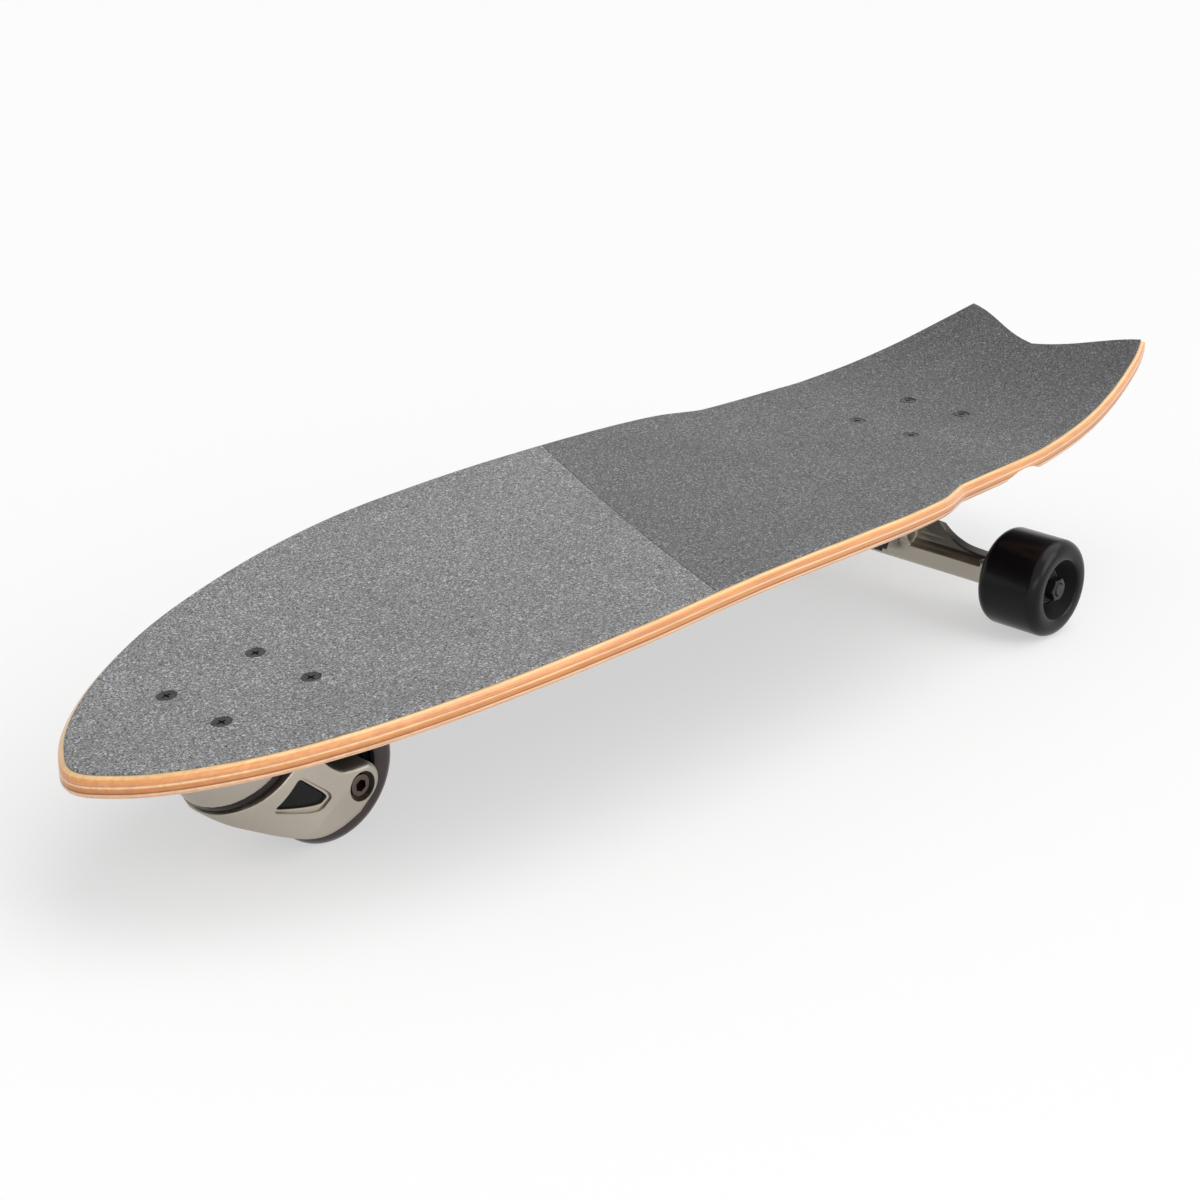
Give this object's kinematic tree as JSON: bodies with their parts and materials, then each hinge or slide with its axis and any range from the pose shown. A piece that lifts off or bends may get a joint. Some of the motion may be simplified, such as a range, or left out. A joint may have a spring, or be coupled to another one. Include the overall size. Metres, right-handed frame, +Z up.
{
  "type": "surf skateboard",
  "caption": "Swallow-tailed laminated surf skateboard with grip tape, a tilted swivelling front wheel in a fork and a leaning rear truck.",
  "frame": {"origin": "on the floor, under the middle of the board", "axes": "+X towards the nose, +Y to the rider's left when facing the nose, +Z up"},
  "size_m": [0.796, 0.2462, 0.1455],
  "materials": {
    "light_grip": "coarse sparkling grit, lighter grey",
    "dark_grip": "coarse sparkling grit, darker grey",
    "maple_laminate": "clear lacquered laminated maple, its underside stained dark brown",
    "satin_alloy": "satin, warm grey",
    "bright_steel": "bright zinc plated",
    "black_steel": "black oxide, semi gloss",
    "smoke_urethane": "glossy, smoky brown grey",
    "black_urethane": "glossy, nearly black",
    "bushing_urethane": "smooth, semi gloss",
    "seal_rubber": "glossy black",
    "black_plastic": "semi gloss black"
  },
  "bodies": {
    "deck": {"swivel_bearing_lower": "bright_steel", "swivel_bearing_upper": "bright_steel", "swivel_seal": "seal_rubber", "front_base_plate": "satin_alloy", "front_deck_bolt_1": "black_steel", "front_lock_nut_1": "black_steel", "front_deck_bolt_2": "black_steel", "front_lock_nut_2": "black_steel", "front_deck_bolt_3": "black_steel", "front_lock_nut_3": "black_steel", "front_deck_bolt_4": "black_steel", "front_lock_nut_4": "black_steel", "riser_pad": "black_plastic", "rear_base_plate": "satin_alloy", "rear_deck_bolt_1": "black_steel", "rear_lock_nut_1": "black_steel", "rear_deck_bolt_2": "black_steel", "rear_lock_nut_2": "black_steel", "rear_deck_bolt_3": "black_steel", "rear_lock_nut_3": "black_steel", "rear_deck_bolt_4": "black_steel", "rear_lock_nut_4": "black_steel", "pivot_cup": "bushing_urethane", "kingpin": "black_steel", "kingpin_nut": "black_steel", "bushing_upper": "bushing_urethane", "bushing_lower": "bushing_urethane", "cup_washer_upper": "black_steel", "cup_washer_lower": "black_steel", "deck": "maple_laminate", "grip_tape_nose": "light_grip", "grip_tape_tail": "dark_grip"},
    "front_fork": {"swivel_fork": "satin_alloy", "swivel_bolt": "bright_steel", "swivel_nut": "bright_steel", "fork_window_left": "black_plastic", "fork_window_right": "black_plastic", "front_axle_bolt": "bright_steel", "front_axle_sleeve_nut": "bright_steel"},
    "front_wheel": {"front_wheel_tyre": "smoke_urethane", "front_wheel_bearing_spacer": "bright_steel", "front_wheel_bearing_inner": "bright_steel", "front_wheel_bearing_outer": "bright_steel", "front_wheel_core": "black_plastic"},
    "rear_hanger": {"rear_hanger": "satin_alloy", "rear_axle": "bright_steel", "speed_washer_left_inner": "bright_steel", "speed_washer_left_outer": "bright_steel", "axle_nut_left": "black_steel", "speed_washer_right_inner": "bright_steel", "speed_washer_right_outer": "bright_steel", "axle_nut_right": "black_steel"},
    "rear_wheel_left": {"rear_wheel_left_tyre": "black_urethane", "rear_wheel_left_bearing_spacer": "bright_steel", "rear_wheel_left_bearing_inner": "bright_steel", "rear_wheel_left_bearing_outer": "bright_steel"},
    "rear_wheel_right": {"rear_wheel_right_tyre": "black_urethane", "rear_wheel_right_bearing_spacer": "bright_steel", "rear_wheel_right_bearing_inner": "bright_steel", "rear_wheel_right_bearing_outer": "bright_steel"}
  },
  "joints": [
    {"name": "front_swivel", "type": "hinge", "parent": "deck", "child": "front_fork", "pos_m": [0.3035, 0, 0.05654], "axis": [0.5736, 0, 0.8192], "continuous": true},
    {"name": "front_wheel_spin", "type": "hinge", "parent": "front_fork", "child": "front_wheel", "pos_m": [0.25773, 0, 0.0372], "axis": [0, 1, 0], "continuous": true},
    {"name": "rear_steer", "type": "hinge", "parent": "deck", "child": "rear_hanger", "pos_m": [-0.216, 0, 0.0535], "axis": [0.9285, 0, -0.3714], "range_deg": [-15, 15], "stiffness_Nm_per_rad": 60, "deforming": ["bushing_upper", "bushing_lower"]},
    {"name": "rear_wheel_left_spin", "type": "hinge", "parent": "rear_hanger", "child": "rear_wheel_left", "pos_m": [-0.2286, 0.1016, 0.0305], "axis": [0, 1, 0], "continuous": true},
    {"name": "rear_wheel_right_spin", "type": "hinge", "parent": "rear_hanger", "child": "rear_wheel_right", "pos_m": [-0.2286, -0.1016, 0.0305], "axis": [0, 1, 0], "continuous": true}
  ]
}
